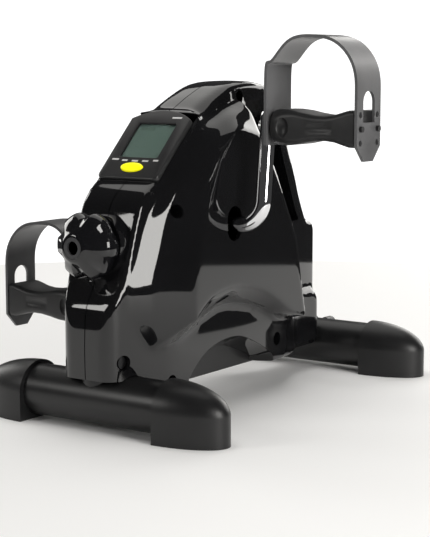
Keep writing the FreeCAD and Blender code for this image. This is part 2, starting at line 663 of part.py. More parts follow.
cover_screws = [screw("cover", y, z, 6, -8, 3.4, 1.6) for y, z, head in COVER_SCREWS.values()]
node(feature("cover_screws", Part.makeCompound(cover_screws)))
frame_screws = [screw("frame", y, z, FRAME_SEATS[name][0] + 3, FRAME_SEATS[name][0] - 6, 4,
                      dim("frame_screw_rad"), sign)
                for name, (y, z) in FRAME_SCREWS.items() for sign in SIDES.values()]
node(feature("frame_screws", Part.makeCompound(frame_screws)))

# ---- console -------------------------------------------------------------------------------------

CONSOLE_AT = (0, "mid_y + console_y", "console_z")
CONSOLE_TURN = Rotation(Vector(1, 0, 0), -dim("console_tilt"))


def on_console(name, shape):
    return node(feature(name, shape, CONSOLE_AT, CONSOLE_TURN))


def block(wide, long, low, high, y=0):
    return Part.makeBox(wide, long, high - low, Vector(-wide / 2, y - long / 2, low))


def oval(wide, tall, low, high, y):
    face = Part.Face(Part.Wire(Part.Ellipse(Vector(0, y, low), wide / 2, tall / 2).toShape()))
    return face.extrude(Vector(0, 0, high - low))


def arched(wide, long, low, high):
    """A block whose upper end is a shallow arch."""
    rad = wide * 0.85
    arch = Part.makeCylinder(rad, high - low, Vector(0, long / 2 - rad, low))
    return block(wide, long, low, high).common(arch.fuse(block(wide, long, low, high, -long / 3)))


wide, long, lcd = dim("console_wide"), dim("console_long"), dim("lcd_size")
button = (dim("button_wide"), dim("button_tall"))
low, up = dim("button_low"), dim("lcd_up")
case = arched(wide, long, -11, 1).cut(arched(wide - 4, long - 4, -9, 2))
door_hole = Part.makeCylinder(9, 4, Vector(0, -14, -12))
on_console("console_case", case.cut(door_hole))
bezel = arched(wide, long, 1, 4.5).cut([block(lcd, lcd, 0, 6, up),
                                        oval(button[0] + 0.6, button[1] + 0.6, 0, 6, low),
                                        arched(wide - 4, long - 4, 0, 2.5)])
on_console("console_bezel", bezel)
on_console("display_lens", block(lcd - 0.2, lcd - 0.2, 2.5, 3.3, up))
on_console("display_panel", block(lcd + 4, lcd + 4, 0.2, 2.4, up))
on_console("circuit_board", block(wide - 6, long - 20, -2, -0.4))
on_console("mode_button", oval(button[0], button[1], 0.8, 5.6, low))
on_console("button_cell", Part.makeCylinder(5.8, 5.4, Vector(0, -14, -8.2)))
on_console("battery_door", Part.makeCylinder(8.9, 1.8, Vector(0, -14, -11)))

# ---- check and write -----------------------------------------------------------------------------

doc.recompute()
for item in doc.Objects:
    if "Invalid" in item.State or "Error" in item.State:
        raise RuntimeError("%s: %s" % (item.Label, item.State))
labels = [item.Label for item in nodes]
if len(set(labels)) != len(labels):
    raise RuntimeError("two nodes share a label")
os.makedirs("parts", exist_ok=True)
for item in nodes:
    if item.Shape.isNull() or not item.Shape.isValid():
        raise RuntimeError("bad shape: " + item.Label)
    item.Shape.exportStep("parts/%s.step" % item.Label)
    bounds = item.Shape.BoundBox
    print("%-20s solids %d  volume %9.1f  x %6.1f %6.1f  y %6.1f %6.1f  z %6.1f %6.1f" % (
        item.Label, len(item.Shape.Solids), item.Shape.Volume, bounds.XMin, bounds.XMax,
        bounds.YMin, bounds.YMax, bounds.ZMin, bounds.ZMax))
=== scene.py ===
import math

import bmesh
import bpy
from mathutils import Euler, Matrix, Vector
from mathutils.geometry import interpolate_bezier


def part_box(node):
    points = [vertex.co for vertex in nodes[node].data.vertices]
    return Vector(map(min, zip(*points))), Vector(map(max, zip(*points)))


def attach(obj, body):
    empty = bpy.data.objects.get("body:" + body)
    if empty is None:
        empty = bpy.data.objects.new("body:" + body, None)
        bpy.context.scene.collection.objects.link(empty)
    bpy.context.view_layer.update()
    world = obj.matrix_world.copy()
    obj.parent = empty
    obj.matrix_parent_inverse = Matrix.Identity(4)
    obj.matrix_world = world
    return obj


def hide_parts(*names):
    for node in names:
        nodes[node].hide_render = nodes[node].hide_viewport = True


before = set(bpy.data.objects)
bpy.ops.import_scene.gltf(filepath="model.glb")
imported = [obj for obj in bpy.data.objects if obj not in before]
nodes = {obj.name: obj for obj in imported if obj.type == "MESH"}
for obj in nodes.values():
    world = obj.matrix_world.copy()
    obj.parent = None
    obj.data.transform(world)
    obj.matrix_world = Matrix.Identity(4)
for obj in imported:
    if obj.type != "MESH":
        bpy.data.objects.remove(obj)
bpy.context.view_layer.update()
print("frame loaded:", len(nodes), "nodes")

mm = 0.001
sides = {"right": 1, "left": -1}


def middle(node):
    low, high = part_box(node)
    return (Vector(low) + Vector(high)) / 2


# middle of the wheelbase
midY = (middle("front_stabiliser").y + middle("rear_stabiliser").y) / 2
axle = middle("flywheel")
knobAxis = middle("tension_screw")


def newObject(name, bm, body, replaces=(), smooth=35, weld=True):
    if weld:
        bmesh.ops.remove_doubles(bm, verts=bm.verts, dist=1e-6)
    bmesh.ops.recalc_face_normals(bm, faces=bm.faces)
    mesh = bpy.data.meshes.new(name)
    bm.to_mesh(mesh)
    bm.free()
    piece = bpy.data.objects.new(name, mesh)
    bpy.context.collection.objects.link(piece)
    if body:
        shadeByAngle(piece, smooth)
        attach(piece, body)
        if replaces:
            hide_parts(*replaces)
    return piece


def shadeByAngle(piece, angle):
    for face in piece.data.polygons:
        face.use_smooth = True
    piece.data.set_sharp_from_angle(angle=math.radians(angle))


def bake(piece):
    # the modifiers' result becomes the piece's own mesh
    graph = bpy.context.evaluated_depsgraph_get()
    mesh = bpy.data.meshes.new_from_object(piece.evaluated_get(graph))
    piece.modifiers.clear()
    piece.data = mesh


def boolean(piece, tool, operation="DIFFERENCE", solver="MANIFOLD", keepTool=False):
    cut = piece.modifiers.new("cut", "BOOLEAN")
    cut.operation = operation
    cut.solver = solver
    cut.object = tool
    bake(piece)
    if not keepTool:
        bpy.data.objects.remove(tool)


def duplicate(piece):
    double = piece.copy()
    double.data = piece.data.copy()
    bpy.context.collection.objects.link(double)
    return double


def modifier(piece, kind, **settings):
    added = piece.modifiers.new(kind.lower(), kind)
    for key, value in settings.items():
        setattr(added, key, value)
    return added


def curveThrough(points, steps=6):
    # a smooth run through the points, with handles taken from each point's neighbours
    run = []
    last = len(points) - 1
    for k in range(last):
        before, here = points[max(k - 1, 0)], points[k]
        there, after = points[k + 1], points[min(k + 2, last)]
        handleA = here + (there - before) / 6
        handleB = there - (after - here) / 6
        run += interpolate_bezier(here, handleA, handleB, there, steps)[:-1]
    return run + [points[last]]


def outline(first, *stretches, steps=6):
    # straight to a single point, smooth through several; (y, z) in millimetres from the wheelbase's middle
    here = first
    points = []
    for stretch in list(stretches) + [[first]]:
        run = [Vector((0, y, z)) for y, z in [here] + stretch]
        points += (curveThrough(run, steps) if len(run) > 2 else run)[:-1]
        here = stretch[-1]
    return [Vector((0, p.y * mm + midY, p.z * mm)) for p in points]


def skin(bm, rings):
    # walls between one closed ring of points and the next, and a cap at each end
    loops = []
    for points in rings:
        verts = [bm.verts.new(p) for p in points]
        loops.append([bm.edges.new(pair) for pair in zip(verts, verts[1:] + verts[:1])])
    for edges, nextEdges in zip(loops, loops[1:]):
        bmesh.ops.bridge_loops(bm, edges=edges + nextEdges)
    for edges in (loops[0], loops[-1]):
        bmesh.ops.edgeloop_fill(bm, edges=edges)
    return bm


def loft(bm, sections):
    return skin(bm, [[(x * mm, p.y, p.z) for p in points] for points, x in sections])


def slab(points, xLow, xHigh):
    return loft(bmesh.new(), [(points, xLow), (points, xHigh)])


def rodAlong(bm, start, direction, radius, length, segments=48, endRadius=None):
    start, direction = Vector(start), Vector(direction).normalized()
    turn = direction.to_track_quat("Z", "Y").to_matrix().to_4x4()
    place = Matrix.Translation(start + direction * length / 2) @ turn
    bmesh.ops.create_cone(bm, cap_ends=True, segments=segments, radius1=radius,
                          radius2=radius if endRadius is None else endRadius, depth=length, matrix=place)


def block(bm, low, high):
    low, high = Vector(low), Vector(high)
    size = high - low
    place = Matrix.Translation((low + high) / 2) @ Matrix.Diagonal((size.x, size.y, size.z, 1))
    bmesh.ops.create_cube(bm, size=1, matrix=place)


def at(x, y, z):
    return Vector((x * mm, y * mm + midY, z * mm))


def noiseGroup():
    # fine unevenness in roughness and height, for any moulded or painted surface
    group = bpy.data.node_groups.new("surface finish", "ShaderNodeTree")
    sockets = (("Grain", "INPUT", 900.0), ("Roughness", "INPUT", 0.3), ("Roughness Spread", "INPUT", 0.1),
               ("Smudge Scale", "INPUT", 25.0))
    for name, way, value in sockets:
        socket = group.interface.new_socket(name=name, in_out=way, socket_type="NodeSocketFloat")
        socket.default_value = value
    group.interface.new_socket(name="Roughness", in_out="OUTPUT", socket_type="NodeSocketFloat")
    group.interface.new_socket(name="Height", in_out="OUTPUT", socket_type="NodeSocketFloat")
    group.interface.new_socket(name="Mottle", in_out="OUTPUT", socket_type="NodeSocketFloat")
    tree, link = group.nodes, group.links
    inputs, outputs = tree.new("NodeGroupInput"), tree.new("NodeGroupOutput")
    place = tree.new("ShaderNodeTexCoord")
    grain, smudge = tree.new("ShaderNodeTexNoise"), tree.new("ShaderNodeTexNoise")
    grain.inputs["Detail"].default_value = 3
    smudge.inputs["Detail"].default_value = 5
    link.new(place.outputs["Object"], grain.inputs["Vector"])
    link.new(place.outputs["Object"], smudge.inputs["Vector"])
    link.new(inputs.outputs["Grain"], grain.inputs["Scale"])
    link.new(inputs.outputs["Smudge Scale"], smudge.inputs["Scale"])
    centred = tree.new("ShaderNodeMath")
    centred.operation = "SUBTRACT"
    centred.inputs[1].default_value = 0.5
    spread, total = tree.new("ShaderNodeMath"), tree.new("ShaderNodeMath")
    spread.operation, total.operation = "MULTIPLY", "ADD"
    total.use_clamp = True
    link.new(smudge.outputs["Fac"], centred.inputs[0])
    link.new(centred.outputs[0], spread.inputs[0])
    link.new(inputs.outputs["Roughness Spread"], spread.inputs[1])
    link.new(spread.outputs[0], total.inputs[0])
    link.new(inputs.outputs["Roughness"], total.inputs[1])
    link.new(total.outputs[0], outputs.inputs["Roughness"])
    link.new(grain.outputs["Fac"], outputs.inputs["Height"])
    link.new(smudge.outputs["Fac"], outputs.inputs["Mottle"])
    return group


surfaceFinish = noiseGroup()


def material(name, dark, light, finish, bump=0.1, bumpDepth=0.0001, metallic=0.0, **sockets):
    # colour runs from dark to light with the mottle; finish is (grain, roughness, spread, smudge scale)
    made = bpy.data.materials.new(name)
    made.use_nodes = True
    tree = made.node_tree
    shader = tree.nodes["Principled BSDF"]
    group = tree.nodes.new("ShaderNodeGroup")
    group.node_tree = surfaceFinish
    for socket, value in zip(("Grain", "Roughness", "Roughness Spread", "Smudge Scale"), finish):
        group.inputs[socket].default_value = value
    ramp = tree.nodes.new("ShaderNodeValToRGB")
    ramp.color_ramp.elements[0].position, ramp.color_ramp.elements[1].position = 0.35, 0.65
    ramp.color_ramp.elements[0].color = (*dark, 1)
    ramp.color_ramp.elements[1].color = (*light, 1)
    bumpNode = tree.nodes.new("ShaderNodeBump")
    bumpNode.inputs["Strength"].default_value = bump
    bumpNode.inputs["Distance"].default_value = bumpDepth
    tree.links.new(group.outputs["Mottle"], ramp.inputs["Fac"])
    tree.links.new(ramp.outputs["Color"], shader.inputs["Base Color"])
    tree.links.new(group.outputs["Roughness"], shader.inputs["Roughness"])
    tree.links.new(group.outputs["Height"], bumpNode.inputs["Height"])
    tree.links.new(bumpNode.outputs["Normal"], shader.inputs["Normal"])
    shader.inputs["Metallic"].default_value = metallic
    for socket, value in sockets.items():
        shader.inputs[socket.replace("_", " ")].default_value = value
    return made


glossHousing = material("gloss black housing", (0.004, 0.004, 0.0045), (0.006, 0.006, 0.0068),
                        (60, 0.045, 0.03, 14), bump=0.004, Coat_Weight=0.3, Coat_Roughness=0.03)
glossKnob = material("gloss black knob", (0.004, 0.004, 0.005), (0.007, 0.007, 0.008),
                     (80, 0.05, 0.03, 30), bump=0.004, Coat_Weight=0.3, Coat_Roughness=0.03)
satinPaint = material("satin black paint", (0.006, 0.006, 0.0065), (0.01, 0.01, 0.0105),
                      (420, 0.34, 0.1, 22), bump=0.16, bumpDepth=0.00012)
capRubber = material("black cap rubber", (0.0065, 0.0065, 0.007), (0.011, 0.011, 0.0115),
                     (700, 0.4, 0.12, 30), bump=0.16, bumpDepth=0.0001)
pedalPlastic = material("textured pedal plastic", (0.014, 0.014, 0.0145), (0.021, 0.021, 0.022),
                        (1100, 0.42, 0.1, 40), bump=0.3, bumpDepth=0.00012)
strapPlastic = material("grey strap plastic", (0.1, 0.1, 0.103), (0.13, 0.13, 0.134),
                        (600, 0.3, 0.1, 35), bump=0.14, bumpDepth=0.0001)
consolePlastic = material("console plastic", (0.014, 0.014, 0.015), (0.02, 0.02, 0.021),
                          (1300, 0.36, 0.08, 50), bump=0.22, bumpDepth=0.00008)
chromePlate = material("chrome plate", (0.78, 0.78, 0.8), (0.86, 0.86, 0.87),
                       (150, 0.05, 0.04, 45), bump=0.01, metallic=1.0)
zincSteel = material("zinc plated steel", (0.42, 0.43, 0.44), (0.6, 0.6, 0.6),
                     (900, 0.3, 0.2, 90), bump=0.15, metallic=1.0)
blackSteel = material("black oxide steel", (0.03, 0.03, 0.032), (0.05, 0.05, 0.052),
                      (900, 0.35, 0.15, 120), bump=0.15, metallic=1.0)
machinedIron = material("machined iron", (0.12, 0.12, 0.125), (0.22, 0.215, 0.21),
                        (1200, 0.4, 0.2, 60), bump=0.3, metallic=1.0)
feltBand = material("woven band", (0.16, 0.14, 0.12), (0.26, 0.24, 0.2),
                    (1600, 0.85, 0.1, 200), bump=0.8, bumpDepth=0.0004)
displayFilm = material("display film", (0.17, 0.245, 0.22), (0.2, 0.28, 0.252),
                       (500, 0.3, 0.05, 12), bump=0.02)
displayInk = material("display ink", (0.05, 0.075, 0.068), (0.06, 0.085, 0.076),
                      (500, 0.4, 0.05, 60), bump=0.02)
printWhite = material("white print", (0.62, 0.62, 0.62), (0.72, 0.72, 0.72),
                      (900, 0.5, 0.05, 90), bump=0.05)
# the yellow base colour is the button's own; the emission is a painted glow that brightens it, though the
# button is no lamp
yellowButtonPaintedGlow = material("yellow button with painted glow", (0.95, 0.93, 0.002), (1.0, 0.98, 0.006),
                        (700, 0.32, 0.06, 60), bump=0.06, Emission_Color=(1, 0.97, 0, 1),
                        Emission_Strength=0.35)
boardGreen = material("board resist", (0.01, 0.08, 0.03), (0.02, 0.13, 0.05),
                      (700, 0.3, 0.1, 150), bump=0.1)
ringGrey = material("satin grey ring", (0.045, 0.045, 0.048), (0.065, 0.065, 0.068),
                    (900, 0.4, 0.1, 80), bump=0.12)


def lensGlass():
    made = bpy.data.materials.new("clear lens")
    made.use_nodes = True
    shader = made.node_tree.nodes["Principled BSDF"]
    shader.inputs["Base Color"].default_value = (0.93, 0.97, 0.95, 1)
    shader.inputs["Transmission Weight"].default_value = 1.0
    shader.inputs["IOR"].default_value = 1.3
    scratches = made.node_tree.nodes.new("ShaderNodeTexNoise")
    scratches.inputs["Scale"].default_value = 120
    span = made.node_tree.nodes.new("ShaderNodeMapRange")
    span.inputs["To Min"].default_value, span.inputs["To Max"].default_value = 0.02, 0.09
    place = made.node_tree.nodes.new("ShaderNodeTexCoord")
    made.node_tree.links.new(place.outputs["Object"], scratches.inputs["Vector"])
    made.node_tree.links.new(scratches.outputs["Fac"], span.inputs["Value"])
    made.node_tree.links.new(span.outputs["Result"], shader.inputs["Roughness"])
    return made


clearLens = lensGlass()


def finishWith(piece, made):
    piece.data.materials.clear()
    piece.data.materials.append(made)


def recoat(made, *names):
    # CAD nodes keep their shape and take a better material on every slot
    for name in names:
        for slot in nodes[name].material_slots:
            slot.material = made


recoat(satinPaint, "front_stabiliser", "rear_stabiliser", "main_beam", "bearing_frame", "tension_bracket")
recoat(zincSteel, "right_spindle", "left_spindle", "right_spindle_nut", "left_spindle_nut", "right_bearing",
       "left_bearing", "tension_screw", "screw_collar", "tension_nut", "tension_spring", "band_anchor_pin",
       "speed_magnet", "button_cell")
recoat(blackSteel, "cover_screws", "frame_screws", "stabiliser_bolts")
recoat(machinedIron, "flywheel")
recoat(feltBand, "brake_band")
recoat(capRubber, "front_right_cap", "front_left_cap", "rear_right_cap", "rear_left_cap")
recoat(strapPlastic, "right_strap", "left_strap")
recoat(chromePlate, "crank_shaft")
recoat(consolePlastic, "console_case", "speed_sensor", "battery_door")
recoat(boardGreen, "circuit_board")
recoat(displayFilm, "display_panel")
recoat(clearLens, "display_lens")
recoat(ringGrey, "knob_ring")
recoat(pedalPlastic, "right_end_cap", "left_end_cap")
print("materials made")

housing = {
    "wall": 2.6 * mm, "voxel": 1.7 * mm, "innerVoxel": 3 * mm, "smoothing": 13, "seamGap": 0.35 * mm,
    "halfWide": 33, "crown": 12, "crownFall": 0.25, "shoulderFrom": 0.52, "shoulderFall": 1.9,
    "handleFall": 6, "saddleRadius": 17.9, "tubeY": 133.5, "tubeZ": 19.5,
    # places of the screws, (y, z)
    "screwPlaces": ((-100, 143), (-4, 216)), "neckHole": (-141, 47), "skirtHole": (-99, 28),
    "tailHole": (32, 38),
    # radii of the upper posts, lower posts, lower recesses, lower holes, upper recesses and pilot holes
    "postRadius": 6.5, "lowPostRadius": 7.2, "lowRecess": 4.9, "lowHole": 2.3, "recess": 4.6, "pilot": 1.8,
}
sideView = ((-151, 22),
            [(-152, 40), (-152, 62), (-150, 82), (-140.5, 100), (-127, 140), (-120, 152), (-108, 161)],
            [(-60, 207)], [(-53, 209)], [(-34, 218), (-10, 226), (22, 227), (45, 222)],
            [(60, 205), (73, 174), (92, 135), (100, 121)], [(111, 119)], [(114, 112)], [(114, 21)],
            [(34, 21)], [(-112, 21)])
planView = [(-153, 9), (-151.5, 15), (-148, 20), (-141, 23.5), (-130, 25), (-95, 26), (-70, 26), (-45, 24.5),
            (-6, 21.5), (30, 20.5), (80, 17.2), (114, 13.5), (115, 11)]
frontView = [(10, 21.5), (30, 23), (67, 27), (88, 30.5), (139, 31), (162, 29), (195, 27), (240, 26)]
lowerPlan = [(-153, 12), (-149.5, 18), (-142, 23), (-130, 26.5), (-114, 29.5), (-98, 31.5), (-70, 32),
             (-20, 32), (40, 31), (62, 27), (78, 20), (90, 18.5), (115, 18.5)]
cheekRoot = ((-126, 52), [(-137, 76), (-138, 98), (-131, 116), (-122, 139), (-107, 160)], [(-62, 201)],
             [(-45, 203), (-25, 209), (-4, 214)], [(20, 172), (40, 135), (52, 121)], [(58, 50)],
             [(28, 52), (4, 62), (-24, 69), (-50, 69), (-80, 57), (-98, 48), (-115, 46)])
cheekFlat = ((-90, 68), [(-92, 80), (-91, 100), (-88, 115), (-84, 130), (-76, 152)], [(-64, 176)],
             [(-52, 187), (-40, 195), (-14, 190)], [(4, 168), (26, 131), (36, 112)], [(50, 54)],
             [(28, 60), (8, 72), (-10, 81), (-33, 87), (-52, 87.5), (-70, 84), (-82, 76)])
cheekRise = ((14, 0), (20, 0), (23, 0.01), (25, 0.03), (28, 0.12), (31, 0.22), (34, 0.33), (37, 0.5),
             (40, 0.665), (43, 0.83), (45.2, 0.95), (46, 1.0))
lowerTaper = [(0, 35), (45, 32.3), (95, 27.3)]
handHole = ((5, 213), [(28, 214)], [(45, 200), (58, 172), (77, 134), (84, 123)], [(82, 121), (52, 121)],
            [(49, 123), (40, 135), (20, 170), (6, 203), (4, 209), (5, 213)])


def crowned(points, across):
    # the roof falls away from the seam, the back of the handle a little
    moved = []
    for p in points:
        y, z = (p.y - midY) / mm, p.z / mm
        fall = across * across * housing["crownFall"]
        fall += max(0.0, abs(across) - housing["shoulderFrom"]) * housing["shoulderFall"]
        roof = housing["crown"] * fall * (1 if z > 196 and -57 < y < 30 else 0)
        backShare = max(0.0, min(1.0, (y - 22) / 30))
        back = housing["handleFall"] * across * across * backShare * (1 if z > 119 else 0)
        moved.append(Vector((0, p.y - back * mm, p.z - (roof * (1 - backShare) + back) * mm)))
    return moved


def spine():
    bm = bmesh.new()
    points = outline(*sideView)
    halfWide = housing["halfWide"]
    stops = [-1, -0.85, -0.7, -0.6, -0.5, -0.35, 0, 0.35, 0.5, 0.6, 0.7, 0.85, 1]
    loft(bm, [(crowned(points, stop), stop * halfWide) for stop in stops])
    return newObject("spine", bm, None)


def widthPrism(widths, verticalPlan, low, high):
    # a prism across the housing whose half width follows the list,
    # in plan and along Z, or in front view and along Y
    bm = bmesh.new()
    run = curveThrough([Vector((half, along, 0)) for along, half in widths], 5)
    border = run + [Vector((-p.x, p.y, 0)) for p in reversed(run)]
    if verticalPlan:
        verts = [bm.verts.new(at(p.x, p.y, low)) for p in border]
        reach = Vector((0, 0, (high - low) * mm))
    else:
        verts = [bm.verts.new(at(p.x, low, p.y)) for p in border]
        reach = Vector((0, (high - low) * mm, 0))
    edges = [bm.edges.new((a, b)) for a, b in zip(verts, verts[1:] + verts[:1])]
    face = bmesh.ops.edgeloop_fill(bm, edges=edges)["faces"]
    top = bmesh.ops.extrude_face_region(bm, geom=face)
    bmesh.ops.translate(bm, verts=[v for v in top["geom"] if isinstance(v, bmesh.types.BMVert)], vec=reach)
    return newObject("prism", bm, None)


def cheek(side):
    sign = sides[side]
    root, flat = outline(*cheekRoot), outline(*cheekFlat)
    sections = [([a.lerp(b, share) for a, b in zip(root, flat)], sign * x) for x, share in cheekRise]
    bm = loft(bmesh.new(), sections)
    return newObject("cheek", bm, None)


def lowerBody():
    points = outline((-151, 22), [(-152, 40)], [(-151, 64)], [(-143, 92)], [(-112, 92)], [(-80, 80)],
                     [(10, 80)], [(50, 64)], [(108, 64)], [(114, 58)], [(114, 21)])
    body = newObject("lower", slab(points, -housing["halfWide"], housing["halfWide"]), None)
    boolean(body, widthPrism(lowerPlan, True, 10, 100), "INTERSECT")
    boolean(body, widthPrism(lowerTaper, False, -170, 140), "INTERSECT")
    return body


def knobBoss():
    bm = bmesh.new()
    rodAlong(bm, at(0, -139.5, 122.5), (0, 1, 0), 20.5 * mm, 16 * mm)
    rodAlong(bm, at(0, -141, 103.5), (0, 1, 0), 6 * mm, 12 * mm, 24)
    return newObject("boss", bm, None)


def lowArchTool(side):
    # the lower arch: its soffit slopes down towards the beam
    sign = sides[side]
    inner = outline((-56, 12), [(-52, 27), (-42, 34), (-24, 37.5), (-9, 37), (13, 29), (22, 24)], [(27, 12)])
    outer = outline((-88, 12), [(-80, 27), (-65, 40), (-46, 47), (-20, 48), (5, 39), (25, 28)], [(34, 12)])
    bm = loft(bmesh.new(), [(inner, sign * 12.9), (outer, sign * 30.4), (outer, sign * 50)])
    return newObject("lowArch", bm, None)


console = {
    "tilt": 44, "lensUp": 3.2, "lensHigh": 2.9, "wide": 50, "long": 63, "low": 1, "top": 4.5,
    "archRadius": 42.5, "corner": 3.5, "screen": 31.4,
    "buttonUp": -22, "buttonWide": 18, "buttonTall": 8,
}


def consolePlace():
    # the middle of the console face, found from the lens
    back = Matrix.Translation((0, -console["lensUp"] * mm, -console["lensHigh"] * mm))
    tilt = Matrix.Rotation(math.radians(console["tilt"]), 4, "X")
    return Matrix.Translation(middle("display_lens")) @ tilt @ back


def consoleBlock(bm, wide, long, low, high, y=0, x=0):
    first = len(bm.verts)
    block(bm, ((x - wide / 2) * mm, (y - long / 2) * mm, low * mm),
          ((x + wide / 2) * mm, (y + long / 2) * mm, high * mm))
    bm.verts.ensure_lookup_table()
    bmesh.ops.transform(bm, matrix=consolePlace(), verts=bm.verts[first:])


def postTool(radius, lengths, places):
    bm = bmesh.new()
    for (y, z), (near, far) in zip(places, lengths):
        rodAlong(bm, at(near, y, z), (1, 0, 0), radius * mm, (far - near) * mm, 40)
    return newObject("posts", bm, None)


def cutBlock(body, name, low, high):
    bm = bmesh.new()
    block(bm, at(*low), at(*high))
    boolean(body, newObject(name, bm, None))


def cutRod(body, name, start, direction, radius, length, segments):
    bm = bmesh.new()
    rodAlong(bm, at(*start), direction, radius * mm, length * mm, segments)
    boolean(body, newObject(name, bm, None))


def housingSkin():
    body = spine()
    boolean(body, widthPrism(planView, True, 5, 260), "INTERSECT")
    neck = widthPrism(frontView, False, -170, -95)
    behind = outline((-95.5, 5), [(140, 5)], [(140, 250)], [(-95.5, 250)])
    boolean(neck, newObject("rest", slab(behind, -60, 60), None), "UNION")
    boolean(body, neck, "INTERSECT")
    for extra in (lowerBody(), cheek("right"), cheek("left")):
        boolean(body, extra, "UNION")
    modifier(body, "REMESH", mode="VOXEL", voxel_size=housing["voxel"])
    modifier(body, "SMOOTH", factor=0.5, iterations=housing["smoothing"])
    bake(body)
    boolean(body, knobBoss(), "UNION")
    print("housing skin:", len(body.data.polygons), "faces")
    return body


def hollowOut(body):
    # the inner solid keeps one wall's thickness from the skin and from each large cut;
    # returns the skin with its cuts, before it is hollowed
    inner = duplicate(body)
    modifier(inner, "REMESH", mode="VOXEL", voxel_size=housing["innerVoxel"])
    modifier(inner, "DISPLACE", strength=-housing["wall"], mid_level=0)
    modifier(inner, "REMESH", mode="VOXEL", voxel_size=housing["innerVoxel"])
    bake(inner)

    tools = [lowArchTool("right"), lowArchTool("left")]
    tools.append(newObject("hand", slab(outline(*handHole), -60, 60), None))
    for y in (-housing["tubeY"], housing["tubeY"]):
        bm = bmesh.new()
        rodAlong(bm, at(-70, y, housing["tubeZ"]), (1, 0, 0), housing["saddleRadius"] * mm, 140 * mm, 96)
        tools.append(newObject("saddle", bm, None))
    for tool in tools:
        fat = duplicate(tool)
        modifier(fat, "REMESH", mode="VOXEL", voxel_size=housing["innerVoxel"])
        modifier(fat, "DISPLACE", strength=housing["wall"], mid_level=0)
        bake(fat)
        boolean(inner, fat)
        boolean(body, tool)
    outerSkin = duplicate(body)
    boolean(body, inner)
    print("housing hollow:", len(body.data.polygons), "faces")
    return outerSkin


def addScrewPosts(body, outerSkin):
    upper = list(housing["screwPlaces"])
    lower = [housing["skirtHole"], housing["tailHole"], housing["neckHole"]]
    posts = postTool(housing["postRadius"], [(-40, 40)] * 2, upper)
    boolean(posts, outerSkin, "INTERSECT", keepTool=True)
    boolean(body, posts, "UNION")
    for sign in (1, -1):
        # each list is for the skirt, tail and neck screws in turn
        spans = [sorted((sign * near, sign * 40)) for near in (13.2, 13.2, 16.9)]
        posts = postTool(housing["lowPostRadius"], spans, lower)
        boolean(posts, outerSkin, "INTERSECT", keepTool=True)
        boolean(body, posts, "UNION")
        spans = [sorted((sign * near, sign * 60)) for near in (15.8, 15.8, 19.9)]
        boolean(body, postTool(housing["lowRecess"], spans, lower))
        spans = [sorted((sign * 5, sign * far)) for far in (16, 16, 20)]
        boolean(body, postTool(housing["lowHole"], spans, lower))
    boolean(body, postTool(housing["recess"], [(6, 60)] * 2, upper))
    boolean(body, postTool(housing["pilot"], [(-10, 6.1)] * 2, upper))
    bpy.data.objects.remove(outerSkin)


def buildHousing():
    body = housingSkin()
    addScrewPosts(body, hollowOut(body))
    cutBlock(body, "beamWay", (-12.9, -133.5, 10), (12.9, 133.5, 45.4))
    cutBlock(body, "plateWay", (-20.5, -64.5, 42), (20.5, -27.5, 56))
    cutBlock(body, "openBottom", (-24, 40, 15), (24, 108, 25))
    cutRod(body, "pipeWay", (0, -133.5, 5), (0, 0, 1), 16.75, 73, 96)
    cutBlock(body, "neckEdge", (-40, -165, 10), (40, -122, 35))
    slot = loft(bmesh.new(), [(obround(17, 24), -60), (obround(17, 24), 60)])
    boolean(body, newObject("slot", slot, None))
    cutRod(body, "screwWay", (0, -150, 122.5), (0, 1, 0), 5.2, 40, 48)
    pocket = bmesh.new()
    consoleBlock(pocket, 50.8, 63.8, -30, 14)
    boolean(body, newObject("consolePocket", pocket, None))
    return body


def obround(wide, tall):
    # an upright slot round the crank axle
    points = []
    for k in range(48):
        angle = 2 * math.pi * k / 48
        lift = (tall - wide) / 2 * (1 if math.sin(angle) >= 0 else -1)
        points.append(Vector((0, axle.y + math.cos(angle) * wide / 2 * mm,
                              axle.z + (math.sin(angle) * wide / 2 + lift) * mm)))
    return points


def splitHousing(body):
    for side, sign in sides.items():
        bm = bmesh.new()
        bm.from_mesh(body.data)
        cut = bmesh.ops.bisect_plane(bm, geom=bm.verts[:] + bm.edges[:] + bm.faces[:], dist=1e-7,
                                     plane_co=(sign * housing["seamGap"], 0, 0), plane_no=(-sign, 0, 0),
                                     clear_outer=True)
        rim = [e for e in cut["geom_cut"] if isinstance(e, bmesh.types.BMEdge)]
        bmesh.ops.holes_fill(bm, edges=rim, sides=0)
        cover = newObject(side + "_housing", bm, "base", [side + "_cover"], smooth=32,
                          weld=False)
        finishWith(cover, glossHousing)
        print(cover.name, len(cover.data.polygons), "faces")


wholeHousing = buildHousing()
splitHousing(wholeHousing)
bpy.data.objects.remove(wholeHousing)


upright = {"radii": (14.2, 12.2), "reach": 15.5, "seat": 17.3}


def addUpright():
    low, high = (Vector(corner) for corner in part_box("front_upright"))
    tube = middle("front_stabiliser")
    foot = Vector(((low.x + high.x) / 2, (low.y + high.y) / 2, tube.z))
    shapes = []
    for radius in upright["radii"]:
        bm = bmesh.new()
        rodAlong(bm, foot, (0, 0, 1), radius * mm, high.z - foot.z + (upright["reach"] - radius) * mm, 96)
        shapes.append(newObject("pipe", bm, None))
    boolean(shapes[0], shapes[1])
    bm = bmesh.new()
    rodAlong(bm, tube - Vector((0.05, 0, 0)), (1, 0, 0), upright["seat"] * mm, 0.1, 128)
    boolean(shapes[0], newObject("seat", bm, None))
    shadeByAngle(shapes[0], 35)
    shapes[0].name = "upright_pipe"
    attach(shapes[0], "base")
    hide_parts("front_upright")
    finishWith(shapes[0], satinPaint)


addUpright()

